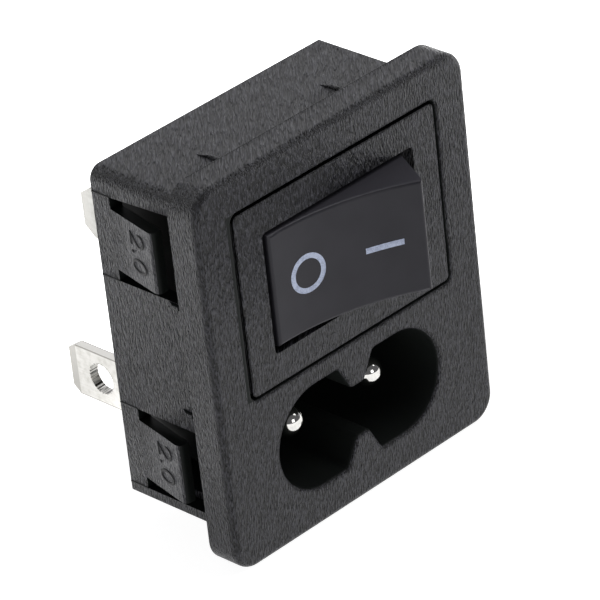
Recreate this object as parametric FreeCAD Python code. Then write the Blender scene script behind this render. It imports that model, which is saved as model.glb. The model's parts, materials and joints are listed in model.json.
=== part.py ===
import FreeCAD
import Part
import math
import os

# Snap-in appliance inlet with a rocker switch above it, in millimetres.
# X runs across the panel, Y into it and Z up. The origin is the middle of the flange's rear face,
# which is the face that rests on the panel.

# Flange on the front of the panel
flange_thickness = 2.84
flange_side_overhang = 1.93
flange_top_overhang = 2.16
flange_bottom_overhang = 1.98
flange_corner_r = 2.1
flange_edge_r = 0.58

# Shell behind the flange, which passes through the panel
panel_thickness = 2.5
shell_width = 24.34
shell_height = 27.46
shell_depth = 10.05
shell_wall = 1.2
shell_corner_r = 0.2
shell_key_corner_r = 1.05
shell_inner_r = 0.3
top_land = 0.77

# Pin well: two round lobes joined by straight sides, with a tooth in the middle of each side
well_r = 4.25
well_depth = 11.4
well_lip_r = 0.35
tooth_base = 3.8
tooth_tip = 1.4
tooth_height = 2.18
tooth_tip_r = 0.45
tooth_root_r = 0.4

# Contact pins and the terminals riveted to them
pin_spacing = 8.6
pin_r = 1.2
pin_setback = 2.27
pin_shank_r = 0.9
pin_shank_gap = 0.02
rivet_head_r = 1.5
rivet_head_height = 0.6
inlet_tab_offset = 7.7
inlet_tab_end = 20.15
inlet_tab_width = 4.3
inlet_tab_clip_along = 0.85
inlet_tab_clip_across = 0.5
inlet_tab_hole_r = 1.25
inlet_tab_hole_inset = 3.5
terminal_foot_margin = 2.0
terminal_bend_r = 0.5

# Snap latches cut free in the side walls
latch_width = 5.0
latch_thickness = 1.0
latch_lift = 1.1
latch_panel_gap = 0.42
latch_side_gap = 0.96
latch_root_band = 1.82
latch_edge_r = 0.45
window_front = 1.2
window_corner_r = 0.5
upper_window_climb = 0.35
upper_latch_drop = 5.33
lower_latch_rise = 4.31

# Crush nibs that take up the play in the panel's cut-out
nib_height = 0.22
nib_width = 0.5
top_nib_start = 2.5
top_nib_length = 2.4
top_nib_spacing = 12.9
top_nib_shift = 0.4
side_nib_start = 2.1
side_nib_length = 1.1
side_nib_offset = 4.55

# Switch case with its bezel
bezel_width = 21.1
bezel_height = 15.0
bezel_thickness = 2.0
bezel_corner_r = 0.5
bezel_edge_r = 0.2
recess_gap = 0.18
recess_lip_r = 0.27
case_wall = 1.5
case_depth = 11.6
case_floor = 1.2
case_corner_r = 0.8
case_gap = 0.1
opening_width = 15.9
opening_height = 10.0
opening_corner_r = 0.4
ear_height = 6.0
ear_lift = 0.5
ear_length = 3.0
ear_gap = 0.05

# Rocker, drawn level and then tipped to its rest position
rocker_tilt = 16.4
pivot_setback = 2.31
rocker_end_reach = 4.36
rocker_end_offset = 6.5
rocker_face_dip = 1.05
rocker_flare = 0.8
rocker_skirt_depth = 1.4
rocker_skirt_draft = 0.3
rocker_side_gap = 0.43
rocker_wall = 0.9
rocker_edge_r = 0.25
trunnion_r = 1.1
trunnion_length = 0.8
trunnion_gap = 0.05
trunnion_end_gap = 0.2

# Plunger and spring in the rocker's stem
stem_r = 1.9
stem_bore_start = 0.4
plunger_r = 1.0
plunger_bore_gap = 0.05
plunger_reach = 1.5
plunger_grip = 2.0
plunger_peg_r = 0.4
plunger_peg_length = 1.2
plunger_mid_gap = 0.05
spring_wire_r = 0.15
spring_mean_r = 0.72
spring_turns = 4
spring_seat_gap = 0.02

# Contact bridge, its contacts and the switch terminals
bridge_tilt = 7.0
bridge_thickness = 0.8
bridge_width = 4.2
bridge_long_arm = 6.3
bridge_short_arm = 4.4
bridge_end_r = 0.8
fulcrum_gap = 0.05
fulcrum_stand = 0.1
contact_arm = 5.0
contact_shank_r = 0.6
contact_shank_gap = 0.02
contact_head_r = 1.2
contact_head_height = 0.5
contact_dome_r = 3.0
contact_back_r = 0.9
contact_back_height = 0.25
contact_closed_gap = 0.05
tab_thickness = 0.8
switch_tab_width = 4.3
switch_tab_end = 18.15
switch_tab_clip_along = 1.25
switch_tab_clip_across = 0.8
switched_tab_offset = 6.1
switched_foot_margin = 1.6
common_shoulder = 0.8
common_shoulder_height = 1.0
tab_slot_gap = 0.05
tab_bevel_along = 0.9
tab_bevel_depth = 0.12

# Places worked out from the sizes above
flange_width = shell_width + 2 * flange_side_overhang
recess_width = bezel_width + 2 * recess_gap
recess_height = bezel_height + 2 * recess_gap
flange_height = flange_bottom_overhang + shell_height + flange_top_overhang
flange_front = -flange_thickness
shell_bottom = flange_bottom_overhang - flange_height / 2
shell_top = shell_bottom + shell_height
shell_z = (shell_top + shell_bottom) / 2
well_z = shell_bottom + shell_wall + well_r
switch_z = shell_top - top_land - recess_height / 2
well_floor = flange_front + well_depth
pin_tip = flange_front + pin_setback

latch_tip = panel_thickness + latch_panel_gap
latch_root = shell_depth - latch_root_band
upper_latch_z = shell_top - upper_latch_drop
lower_latch_z = shell_bottom + lower_latch_rise

bezel_rear = flange_front + bezel_thickness
inner_floor = bezel_rear + shell_wall
case_width = opening_width + 2 * case_wall
case_height = opening_height + 2 * case_wall
case_rear = bezel_rear + case_depth
case_floor_front = case_rear - case_floor

pivot_y = flange_front + pivot_setback
rocker_height = opening_height - 2 * rocker_side_gap
fixed_contact_face = case_floor_front - tab_thickness - contact_head_height
dome_centre = contact_head_height - fulcrum_stand - contact_dome_r
closed_reach = (
    contact_arm * math.sin(math.radians(bridge_tilt))
    + dome_centre * math.cos(math.radians(bridge_tilt))
    + contact_dome_r
)
fulcrum_y = fixed_contact_face - contact_closed_gap - closed_reach
fulcrum_r = tab_thickness / 2
plunger_tip = fulcrum_y - pivot_y - fulcrum_stand - bridge_thickness - plunger_mid_gap
stem_end = plunger_tip - plunger_reach
plunger_back = stem_end - plunger_grip

X_AXIS = FreeCAD.Vector(1, 0, 0)
Y_AXIS = FreeCAD.Vector(0, 1, 0)
Z_AXIS = FreeCAD.Vector(0, 0, 1)
ORIGIN = FreeCAD.Vector(0, 0, 0)
TINY = 1e-6


def point(x, y, z=0.0):
    return FreeCAD.Vector(x, y, z)


def line(start, end):
    return Part.LineSegment(start, end).toShape()


def arc(start, middle, end):
    return Part.Arc(start, middle, end).toShape()


def chain(points):
    """Straight edges from each point to the next."""
    return [line(a, b) for a, b in zip(points, points[1:])]


def dome_arc(rim_r, rim_y, apex_y):
    """Arc of a turned outline from its rim in to the axis, with its centre on the axis."""
    height = apex_y - rim_y
    sphere_r = (rim_r**2 + height**2) / (2 * abs(height))
    half_angle = math.asin(rim_r / sphere_r) / 2
    drop = math.copysign(sphere_r * (1 - math.cos(half_angle)), height)
    return arc(
        point(rim_r, rim_y), point(sphere_r * math.sin(half_angle), apex_y - drop), point(0, apex_y)
    )


def block(x, y, z):
    """Box from three (low, high) pairs."""
    size = [high - low for low, high in (x, y, z)]
    return Part.makeBox(*size, point(x[0], y[0], z[0]))


def edges_along(shape, direction):
    found = []
    for edge in shape.Edges:
        if isinstance(edge.Curve, Part.Line) and edge.Curve.Direction.cross(direction).Length < TINY:
            found.append(edge)
    return found


def edges_at_y(shape, y):
    return [e for e in shape.Edges if all(abs(v.Y - y) < TINY for v in e.Vertexes)]


def rounded_block(width, height, corner_r, centre_z, front, rear):
    """Block across the panel with its four long edges rounded."""
    solid = block(
        (-width / 2, width / 2),
        (front, rear),
        (centre_z - height / 2, centre_z + height / 2),
    )
    return solid.makeFillet(corner_r, edges_along(solid, Y_AXIS))


def extruded(edges, direction):
    return Part.Face(Part.Wire(edges)).extrude(direction)


def turned(edges):
    """Solid turned about Y from a closed outline whose X is the radius."""
    return Part.Face(Part.Wire(edges)).revolve(ORIGIN, Y_AXIS, 360)


def mirrored(shape):
    return shape.mirror(ORIGIN, X_AXIS)


def lobed_prism(radius, front, rear):
    """Two round lobes about the pins, joined by straight sides."""
    half = pin_spacing / 2
    top = well_z + radius
    low = well_z - radius
    outline = [
        line(point(-half, front, top), point(half, front, top)),
        arc(point(half, front, top), point(half + radius, front, well_z), point(half, front, low)),
        line(point(half, front, low), point(-half, front, low)),
        arc(point(-half, front, low), point(-half - radius, front, well_z), point(-half, front, top)),
    ]
    return extruded(outline, Y_AXIS * (rear - front))


def well_tooth(side):
    """Tapered rib on the upper (side 1) or lower (side -1) edge of the pin well."""
    edge_z = well_z + side * well_r
    tip_z = edge_z - side * tooth_height
    root_z = edge_z + side * shell_wall / 2
    corners = [
        point(-tooth_base / 2, flange_front, root_z),
        point(-tooth_base / 2, flange_front, edge_z),
        point(-tooth_tip / 2, flange_front, tip_z),
        point(tooth_tip / 2, flange_front, tip_z),
        point(tooth_base / 2, flange_front, edge_z),
        point(tooth_base / 2, flange_front, root_z),
    ]
    tooth = extruded(chain(corners + corners[:1]), Y_AXIS * well_depth)
    tip_edges = [e for e in edges_along(tooth, Y_AXIS) if abs(e.Vertexes[0].Z - tip_z) < TINY]
    return tooth.makeFillet(tooth_tip_r, tip_edges)


def pin_well():
    """The well's own shape, with the teeth's tips and roots rounded."""
    well = lobed_prism(well_r, flange_front, well_floor).cut([well_tooth(1), well_tooth(-1)])
    roots = [e for e in edges_along(well, Y_AXIS) if abs(abs(e.Vertexes[0].X) - tooth_base / 2) < TINY]
    return well.makeFillet(tooth_root_r, roots)


def snap_latch(centre_z):
    """Tongue on the left wall: rooted at the rear, lifted clear of the wall at its free tip."""
    wall_x = -shell_width / 2
    tip_x = wall_x - latch_lift
    corners = [
        point(wall_x, latch_root),
        point(tip_x, latch_tip),
        point(tip_x + latch_thickness, latch_tip),
        point(wall_x + latch_thickness, latch_root),
    ]
    tongue = extruded(chain(corners + corners[:1]), Z_AXIS * latch_width)
    tip_edges = [e for e in tongue.Edges if all(abs(v.X - tip_x) < TINY for v in e.Vertexes)]
    tongue = tongue.makeFillet(latch_edge_r, tip_edges)
    return tongue.translate(point(0, 0, centre_z - latch_width / 2))


def latch_window(centre_z, climb):
    """Opening round a latch in the left wall. Its upper edge climbs towards the front."""
    half = latch_width / 2 + latch_side_gap
    start = -shell_width / 2 - latch_lift
    corners = [
        point(start, window_front, centre_z - half),
        point(start, latch_root, centre_z - half),
        point(start, latch_root, centre_z + half),
        point(start, window_front, centre_z + half + climb),
    ]
    window = extruded(chain(corners + corners[:1]), X_AXIS * (latch_lift + shell_wall))
    front_edges = [e for e in edges_along(window, X_AXIS) if abs(e.Vertexes[0].Y - window_front) < TINY]
    return window.makeFillet(window_corner_r, front_edges)


def crush_nib(nib_length):
    """Small ridge along Y on a face that looks up, with a ramp at its rear."""
    half = nib_width / 2
    outline = [
        line(point(-half, 0, -nib_height), point(-half, 0, 0)),
        arc(point(-half, 0, 0), point(0, 0, nib_height), point(half, 0, 0)),
        line(point(half, 0, 0), point(half, 0, -nib_height)),
        line(point(half, 0, -nib_height), point(-half, 0, -nib_height)),
    ]
    ridge = extruded(outline, Y_AXIS * nib_length)
    ramp = extruded(
        chain([
            point(-nib_width, nib_length / 2, nib_height),
            point(-nib_width, nib_length, nib_height),
            point(-nib_width, nib_length, 0),
            point(-nib_width, nib_length / 2, nib_height),
        ]),
        X_AXIS * 2 * nib_width,
    )
    return ridge.cut(ramp)


def crush_nibs():
    nibs = []
    for side in (-1, 1):
        top_nib_x = top_nib_shift + side * top_nib_spacing / 2
        nibs.append(crush_nib(top_nib_length).translate(point(top_nib_x, top_nib_start, shell_top)))
        flank = crush_nib(side_nib_length).rotate(ORIGIN, Y_AXIS, 90)
        flank.translate(point(shell_width / 2, side_nib_start, side * side_nib_offset))
        nibs += [flank, mirrored(flank)]
    return nibs


def outer_shell():
    """Block that fills the panel's cut-out, with one long edge rounder than the others as a key."""
    half = shell_width / 2
    shell = block((-half, half), (0, shell_depth), (shell_bottom, shell_top))
    keys = []
    plain = []
    for edge in edges_along(shell, Y_AXIS):
        corner = edge.Vertexes[0]
        if corner.X < 0 and corner.Z > shell_z:
            keys.append(edge)
        else:
            plain.append(edge)
    return shell.makeFillet(shell_corner_r, plain).makeFillet(shell_key_corner_r, keys)


def inlet_housing():
    """Flange, shell, pin well and snap latches, moulded in one piece."""
    flange = rounded_block(flange_width, flange_height, flange_corner_r, 0, flange_front, 0)
    flange = flange.makeFillet(flange_edge_r, edges_at_y(flange, flange_front))
    shell = outer_shell()
    inside = rounded_block(
        shell_width - 2 * shell_wall,
        shell_height - 2 * shell_wall,
        shell_inner_r,
        shell_z,
        inner_floor,
        shell_depth,
    )
    well_tube = lobed_prism(well_r + shell_wall, 0, shell_depth).common(shell)
    housing = flange.fuse([shell.cut(inside), well_tube])

    recess = rounded_block(
        recess_width, recess_height, bezel_corner_r + recess_gap, switch_z, flange_front, bezel_rear
    )
    cut_out = rounded_block(
        case_width + 2 * case_gap,
        case_height + 2 * case_gap,
        case_corner_r + case_gap,
        switch_z,
        bezel_rear,
        inner_floor,
    )
    cuts = [recess, cut_out, pin_well()]
    for side in (-1, 1):
        start = point(side * pin_spacing / 2, well_floor, well_z)
        cuts.append(Part.makeCylinder(pin_shank_r + pin_shank_gap, shell_depth - well_floor, start, Y_AXIS))
    tongues = []
    for centre_z, climb in ((upper_latch_z, upper_window_climb), (lower_latch_z, 0)):
        window = latch_window(centre_z, climb)
        tongue = snap_latch(centre_z)
        cuts += [window, mirrored(window)]
        tongues += [tongue, mirrored(tongue)]
    housing = housing.cut(cuts).fuse(tongues + crush_nibs()).removeSplitter()
    well_lip = front_edges(housing, pin_spacing / 2 + well_r, well_z, well_r)
    housing = housing.makeFillet(well_lip_r, well_lip)
    recess_lip = front_edges(housing, recess_width / 2, switch_z, recess_height / 2)
    return housing.makeFillet(recess_lip_r, recess_lip)


def front_edges(housing, half_width, centre_z, half_height):
    """Edges on the flange's front that reach no further than a rectangle about a height."""
    found = []
    for edge in edges_at_y(housing, flange_front):
        in_width = all(abs(v.X) < half_width + TINY for v in edge.Vertexes)
        in_height = all(abs(v.Z - centre_z) < half_height + TINY for v in edge.Vertexes)
        if in_width and in_height:
            found.append(edge)
    return found


def contact_pin(side):
    """Round pin with a domed tip, a shank through the well floor and a rivet head behind the terminal."""
    dome_base = pin_tip + pin_r
    shank_end = shell_depth + tab_thickness
    head_end = shank_end + rivet_head_height
    edges = [dome_arc(pin_r, dome_base, pin_tip)]
    edges += chain([
        point(pin_r, dome_base),
        point(pin_r, well_floor),
        point(pin_shank_r, well_floor),
        point(pin_shank_r, shank_end),
        point(rivet_head_r, shank_end),
    ])
    edges.append(dome_arc(rivet_head_r, shank_end, head_end))
    edges.append(line(point(0, head_end), point(0, pin_tip)))
    return turned(edges).translate(point(side * pin_spacing / 2, 0, well_z))


def bent_plate(foot_end, bend_x, foot_front, tab_end, inner_r, width, centre_z):
    """Foot across X and tab along Y, bent from one strip of the tab thickness.

    The foot runs from foot_end to the bend, and the tab's outer face stands at bend_x on the left.
    """
    foot_rear = foot_front + tab_thickness
    inner_x = bend_x + tab_thickness
    outer_r = inner_r + tab_thickness
    nook = math.sqrt(0.5)
    centre = point(bend_x + outer_r, foot_front + outer_r)
    edges = chain([
        point(foot_end, foot_rear),
        point(foot_end, foot_front),
        point(bend_x + outer_r, foot_front),
    ])
    edges.append(arc(
        point(bend_x + outer_r, foot_front),
        centre - point(nook * outer_r, nook * outer_r),
        point(bend_x, foot_front + outer_r),
    ))
    edges += chain([
        point(bend_x, foot_front + outer_r),
        point(bend_x, tab_end),
        point(inner_x, tab_end),
        point(inner_x, foot_rear + inner_r),
    ])
    if inner_r > 0:
        edges.append(arc(
            point(inner_x, foot_rear + inner_r),
            centre - point(nook * inner_r, nook * inner_r),
            point(inner_x + inner_r, foot_rear),
        ))
    edges.append(line(point(inner_x + inner_r, foot_rear), point(foot_end, foot_rear)))
    return extruded(edges, Z_AXIS * width).translate(point(0, 0, centre_z - width / 2))


def lead_in(plate, tab, clip_along, clip_across):
    """Clip both corners of a tab's free end and bevel both of its faces.

    The tab is given as its middle in X, its end in Y, its middle in Z and its width.
    """
    tab_x, tab_end, tab_z, width = tab
    cutters = []
    for side in (-1, 1):
        edge_z = tab_z + side * width / 2
        face_x = tab_x + side * tab_thickness / 2
        clip = [
            point(tab_x - tab_thickness, tab_end - clip_along, edge_z),
            point(tab_x - tab_thickness, tab_end, edge_z),
            point(tab_x - tab_thickness, tab_end, edge_z - side * clip_across),
        ]
        bevel = [
            point(face_x, tab_end - tab_bevel_along, tab_z - width / 2),
            point(face_x, tab_end, tab_z - width / 2),
            point(face_x - side * tab_bevel_depth, tab_end, tab_z - width / 2),
        ]
        cutters.append(extruded(chain(clip + clip[:1]), X_AXIS * 2 * tab_thickness))
        cutters.append(extruded(chain(bevel + bevel[:1]), Z_AXIS * width))
    return plate.cut(cutters)


def inlet_terminal():
    """Left terminal: foot riveted behind the well floor, tab standing out of the back."""
    bend_x = -inlet_tab_offset - tab_thickness / 2
    foot_end = -pin_spacing / 2 + terminal_foot_margin
    plate = bent_plate(
        foot_end, bend_x, shell_depth, inlet_tab_end, terminal_bend_r, inlet_tab_width, well_z
    )
    tab = (-inlet_tab_offset, inlet_tab_end, well_z, inlet_tab_width)
    plate = lead_in(plate, tab, inlet_tab_clip_along, inlet_tab_clip_across)
    hole_start = point(bend_x, inlet_tab_end - inlet_tab_hole_inset, well_z)
    rivet_start = point(-pin_spacing / 2, shell_depth, well_z)
    return plate.cut([
        Part.makeCylinder(inlet_tab_hole_r, tab_thickness, hole_start, X_AXIS),
        Part.makeCylinder(pin_shank_r + pin_shank_gap, tab_thickness, rivet_start, Y_AXIS),
    ])


def switch_case():
    """Bezel and case in one moulding, open at the front for the rocker."""
    bezel = rounded_block(
        bezel_width, bezel_height, bezel_corner_r, switch_z, flange_front, bezel_rear
    )
    bezel = bezel.makeFillet(bezel_edge_r, edges_at_y(bezel, flange_front))
    case = rounded_block(case_width, case_height, case_corner_r, switch_z, bezel_rear, case_rear)
    ear_root = case_width / 2 - case_wall / 2
    ear_tip = case_width / 2 + ear_lift
    ear_front = inner_floor + ear_gap
    ear_corners = [
        point(ear_root, ear_front),
        point(ear_tip, ear_front),
        point(ear_root, ear_front + ear_length),
        point(ear_root, ear_front),
    ]
    ear = extruded(chain(ear_corners), Z_AXIS * ear_height)
    ear.translate(point(0, 0, switch_z - ear_height / 2))
    cavity = rounded_block(
        opening_width, opening_height, opening_corner_r, switch_z, flange_front, case_floor_front
    )
    socket_half = rocker_height / 2 + trunnion_length + trunnion_end_gap
    sockets = Part.makeCylinder(
        trunnion_r + trunnion_gap, 2 * socket_half, point(0, pivot_y, switch_z - socket_half), Z_AXIS
    )
    slot_half = switch_tab_width / 2 + tab_slot_gap
    cuts = [cavity, sockets]
    for tab_x in (0, -switched_tab_offset):
        reach = tab_thickness / 2 + tab_slot_gap
        cuts.append(block(
            (tab_x - reach, tab_x + reach),
            (case_floor_front, case_rear),
            (switch_z - slot_half, switch_z + slot_half),
        ))
    return bezel.fuse([case, ear, mirrored(ear)]).cut(cuts).removeSplitter()


def tipped(shape):
    """Move a shape drawn about the level rocker's pivot to its place at rest."""
    shape = shape.copy()
    shape.rotate(ORIGIN, Z_AXIS, -rocker_tilt)
    return shape.translate(point(0, pivot_y, switch_z))


def rocker():
    """Hollow cap with a dished face, two trunnions and a stem that carries the plunger."""
    end_y = -rocker_end_reach
    dish_y = end_y + rocker_face_dip
    foot_x = rocker_end_offset + rocker_flare
    skirt_x = foot_x - rocker_skirt_draft
    right = [
        point(rocker_end_offset, end_y),
        point(foot_x, 0),
        point(skirt_x, rocker_skirt_depth),
    ]
    left = [point(-p.x, p.y) for p in reversed(right)]
    edges = [arc(left[-1], point(0, dish_y), right[0])]
    edges += chain(right + left)
    cap = extruded(edges, Z_AXIS * rocker_height)
    cap.translate(point(0, 0, -rocker_height / 2))
    cap = cap.makeFillet(rocker_edge_r, edges_at_y(cap, end_y))

    pocket_x = rocker_end_offset - rocker_wall
    pocket_dip = rocker_face_dip * (pocket_x / rocker_end_offset) ** 2
    pocket_y = dish_y + rocker_wall
    pocket_z = rocker_height / 2 - rocker_wall
    right = [point(pocket_x, pocket_y - pocket_dip), point(skirt_x - rocker_wall, rocker_skirt_depth)]
    left = [point(-p.x, p.y) for p in reversed(right)]
    edges = [arc(left[-1], point(0, pocket_y), right[0])]
    edges += chain(right + left)
    pocket = extruded(edges, Z_AXIS * 2 * pocket_z).translate(point(0, 0, -pocket_z))
    stem_start = dish_y + rocker_wall / 2
    stem = Part.makeCylinder(stem_r, stem_end - stem_start, point(0, stem_start, 0), Y_AXIS)
    bore = Part.makeCylinder(
        plunger_r + plunger_bore_gap, stem_end - stem_bore_start, point(0, stem_bore_start, 0), Y_AXIS
    )
    trunnions = []
    for side in (-1, 1):
        start = point(0, 0, side * (rocker_height / 2 - rocker_wall / 2))
        trunnions.append(
            Part.makeCylinder(trunnion_r, rocker_wall / 2 + trunnion_length, start, Z_AXIS * side)
        )
    return tipped(cap.cut(pocket).fuse([stem] + trunnions).cut(bore).removeSplitter())


def plunger():
    """Round-nosed pin that slides in the stem and rides on the contact bridge."""
    nose = plunger_tip - plunger_r
    peg_start = plunger_back - plunger_peg_length
    edges = chain([
        point(0, peg_start),
        point(plunger_peg_r, peg_start),
        point(plunger_peg_r, plunger_back),
        point(plunger_r, plunger_back),
        point(plunger_r, nose),
    ])
    edges.append(dome_arc(plunger_r, nose, plunger_tip))
    edges.append(line(point(0, plunger_tip), point(0, peg_start)))
    return tipped(turned(edges))


def plunger_spring():
    """Coil between the end of the stem's bore and the plunger's shoulder."""
    start = stem_bore_start + spring_wire_r + spring_seat_gap
    height = plunger_back - spring_wire_r - spring_seat_gap - start
    helix = Part.makeHelix(height / spring_turns, height, spring_mean_r)
    section = Part.Wire(Part.makeCircle(spring_wire_r, point(spring_mean_r, 0, 0), Y_AXIS))
    coil = Part.Wire(helix).makePipeShell([section], True, True)
    coil.rotate(ORIGIN, X_AXIS, -90)
    coil.translate(point(0, start, 0))
    return tipped(coil)


def rocked(shape):
    """Move a shape drawn about the level bridge's fulcrum to its place at rest."""
    shape = shape.copy()
    shape.rotate(ORIGIN, Z_AXIS, bridge_tilt)
    return shape.translate(point(0, fulcrum_y, switch_z))


def contact_bridge():
    """See-saw strip with a half-round groove that sits on the common terminal's edge."""
    rear = -fulcrum_stand
    front = rear - bridge_thickness
    half = bridge_width / 2
    strip = block((-bridge_long_arm, bridge_short_arm), (front, rear), (-half, half))
    strip = strip.makeFillet(bridge_end_r, edges_along(strip, Y_AXIS))
    groove = Part.makeCylinder(fulcrum_r + fulcrum_gap, bridge_width, point(0, 0, -half), Z_AXIS)
    hole = Part.makeCylinder(
        contact_shank_r + contact_shank_gap, bridge_thickness, point(-contact_arm, front, 0), Y_AXIS
    )
    return rocked(strip.cut([groove, hole]))


def moving_contact():
    """Rivet with a domed head behind the bridge."""
    rear = -fulcrum_stand
    front = rear - bridge_thickness
    rim = dome_centre + math.sqrt(contact_dome_r**2 - contact_head_r**2)
    apex = dome_centre + contact_dome_r
    edges = chain([
        point(0, front - contact_back_height),
        point(contact_back_r, front - contact_back_height),
        point(contact_back_r, front),
        point(contact_shank_r, front),
        point(contact_shank_r, rear),
        point(contact_head_r, rear),
        point(contact_head_r, rim),
    ])
    edges.append(dome_arc(contact_head_r, rim, apex))
    edges.append(line(point(0, apex), point(0, front - contact_back_height)))
    return rocked(turned(edges).translate(point(-contact_arm, 0, 0)))


def fixed_contact():
    """Flat-headed rivet in the switched terminal's foot."""
    foot_front = case_floor_front - tab_thickness
    edges = chain([
        point(0, fixed_contact_face),
        point(contact_head_r, fixed_contact_face),
        point(contact_head_r, foot_front),
        point(contact_shank_r, foot_front),
        point(contact_shank_r, case_floor_front),
        point(0, case_floor_front),
        point(0, fixed_contact_face),
    ])
    return turned(edges).translate(point(-contact_arm, 0, switch_z))


def switched_terminal():
    """Foot on the case floor that carries the fixed contact, and its tab through the floor."""
    bend_x = -switched_tab_offset - tab_thickness / 2
    foot_front = case_floor_front - tab_thickness
    foot_end = -contact_arm + switched_foot_margin
    plate = bent_plate(foot_end, bend_x, foot_front, switch_tab_end, 0, switch_tab_width, switch_z)
    tab = (-switched_tab_offset, switch_tab_end, switch_z, switch_tab_width)
    plate = lead_in(plate, tab, switch_tab_clip_along, switch_tab_clip_across)
    hole_start = point(-contact_arm, foot_front, switch_z)
    return plate.cut(
        Part.makeCylinder(contact_shank_r + contact_shank_gap, tab_thickness, hole_start, Y_AXIS)
    )


def common_terminal():
    """Upright plate: round fulcrum edge inside the case, shoulders on its floor, tab behind it."""
    half = switch_tab_width / 2
    blade = block(
        (-fulcrum_r, fulcrum_r), (fulcrum_y, switch_tab_end), (switch_z - half, switch_z + half)
    )
    tab = (0, switch_tab_end, switch_z, switch_tab_width)
    blade = lead_in(blade, tab, switch_tab_clip_along, switch_tab_clip_across)
    edge = Part.makeCylinder(fulcrum_r, switch_tab_width, point(0, fulcrum_y, switch_z - half), Z_AXIS)
    wide = half + common_shoulder
    shoulders = block(
        (-fulcrum_r, fulcrum_r),
        (case_floor_front - common_shoulder_height, case_floor_front),
        (switch_z - wide, switch_z + wide),
    )
    return blade.fuse([edge, shoulders]).removeSplitter()


NODES = {
    "inlet_housing": inlet_housing(),
    "contact_pin_left": contact_pin(-1),
    "contact_pin_right": contact_pin(1),
    "inlet_terminal_left": inlet_terminal(),
    "inlet_terminal_right": mirrored(inlet_terminal()),
    "switch_case": switch_case(),
    "rocker": rocker(),
    "plunger": plunger(),
    "plunger_spring": plunger_spring(),
    "contact_bridge": contact_bridge(),
    "moving_contact": moving_contact(),
    "fixed_contact": fixed_contact(),
    "common_terminal": common_terminal(),
    "switched_terminal": switched_terminal(),
}

os.makedirs("parts", exist_ok=True)
for name, shape in NODES.items():
    shape.exportStep(f"parts/{name}.step")
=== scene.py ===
"""Looks of a snap-in appliance inlet with a rocker switch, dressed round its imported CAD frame."""

import json
import logging
import math
from collections.abc import Iterable, Mapping, Sequence
from dataclasses import dataclass, field
from enum import Enum

import bmesh
import bpy
from mathutils import Matrix, Vector


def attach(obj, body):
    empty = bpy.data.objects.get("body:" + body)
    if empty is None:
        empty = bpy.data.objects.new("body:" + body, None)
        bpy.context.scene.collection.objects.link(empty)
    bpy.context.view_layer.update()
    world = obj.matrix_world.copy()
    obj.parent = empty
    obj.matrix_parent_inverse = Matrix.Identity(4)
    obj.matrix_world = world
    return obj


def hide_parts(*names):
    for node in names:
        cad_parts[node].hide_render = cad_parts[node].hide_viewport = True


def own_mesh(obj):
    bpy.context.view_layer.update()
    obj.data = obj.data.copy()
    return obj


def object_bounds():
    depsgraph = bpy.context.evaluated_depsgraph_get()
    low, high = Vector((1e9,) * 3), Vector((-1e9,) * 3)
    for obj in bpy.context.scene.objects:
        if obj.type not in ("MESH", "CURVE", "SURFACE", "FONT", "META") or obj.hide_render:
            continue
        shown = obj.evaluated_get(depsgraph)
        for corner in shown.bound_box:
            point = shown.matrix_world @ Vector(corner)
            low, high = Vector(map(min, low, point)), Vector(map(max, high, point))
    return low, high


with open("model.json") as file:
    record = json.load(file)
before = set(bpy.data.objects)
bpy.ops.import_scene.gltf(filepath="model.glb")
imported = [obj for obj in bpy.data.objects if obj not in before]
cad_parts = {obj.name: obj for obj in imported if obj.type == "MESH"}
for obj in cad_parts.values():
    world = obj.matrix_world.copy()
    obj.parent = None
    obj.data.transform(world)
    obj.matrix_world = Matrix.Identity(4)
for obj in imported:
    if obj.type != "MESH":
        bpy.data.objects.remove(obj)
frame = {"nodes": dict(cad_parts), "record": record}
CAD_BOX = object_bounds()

LOG = logging.getLogger("inlet")
MM = 0.001
ROCKER_JOINT = "rocker_pivot"
STROKE_ROUNDNESS = 2
QUARTER_TURN = 90.0

Colour = tuple[float, float, float]
Triple = tuple[float, float, float]
Couple = tuple[float, float]
Stroke = tuple[list[Vector], bool]
Pair = tuple[tuple[float, float], tuple[float, float]]


class Body(Enum):
    """The bodies of the frame that added pieces ride on."""

    HOUSING = "housing"
    ROCKER = "rocker"


class Slot(Enum):
    """The record's material slots that added pieces take their finish from."""

    HOUSING = "housing"
    ROCKER = "rocker"
    SPRING = "spring"


class Side(Enum):
    """A side of the housing, as the sign of its X."""

    LEFT = -1
    RIGHT = 1


class Value:
    """An output socket that stands in Python expressions; each operator adds its Math node."""

    def __init__(self, tree: "ShaderTree", socket: bpy.types.NodeSocket) -> None:
        """Keep the socket with the tree that its expressions grow."""
        self.tree = tree
        self.socket = socket

    def __add__(self, other: "Operand") -> "Value":
        """Sum of two values."""
        return self.tree.math("ADD", self, other)

    def __sub__(self, other: "Operand") -> "Value":
        """This value less another."""
        return self.tree.math("SUBTRACT", self, other)

    def __rsub__(self, other: "Operand") -> "Value":
        """Another value less this one."""
        return self.tree.math("SUBTRACT", other, self)

    def __mul__(self, other: "Operand") -> "Value":
        """Product of two values."""
        return self.tree.math("MULTIPLY", self, other)

    def __abs__(self) -> "Value":
        """Size of the value without its sign."""
        return self.tree.math("ABSOLUTE", self)

    __radd__ = __add__
    __rmul__ = __mul__

    def at_least(self, other: "Operand") -> "Value":
        """The larger of two values."""
        return self.tree.math("MAXIMUM", self, other)

    def ramp(self, start: float, end: float) -> "Value":
        """Smooth rise from 0 to 1, held outside its ends.

        Args:
            start: Value where the rise is 0.
            end: Value where the rise is 1; it may lie below start.

        Returns:
            The rise.
        """
        return self.tree.node(
            "ShaderNodeMapRange",
            {"interpolation_type": "SMOOTHSTEP"},
            {"Value": self, "From Min": start, "From Max": end},
        )


Operand = Value | float | Sequence[float]


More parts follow.
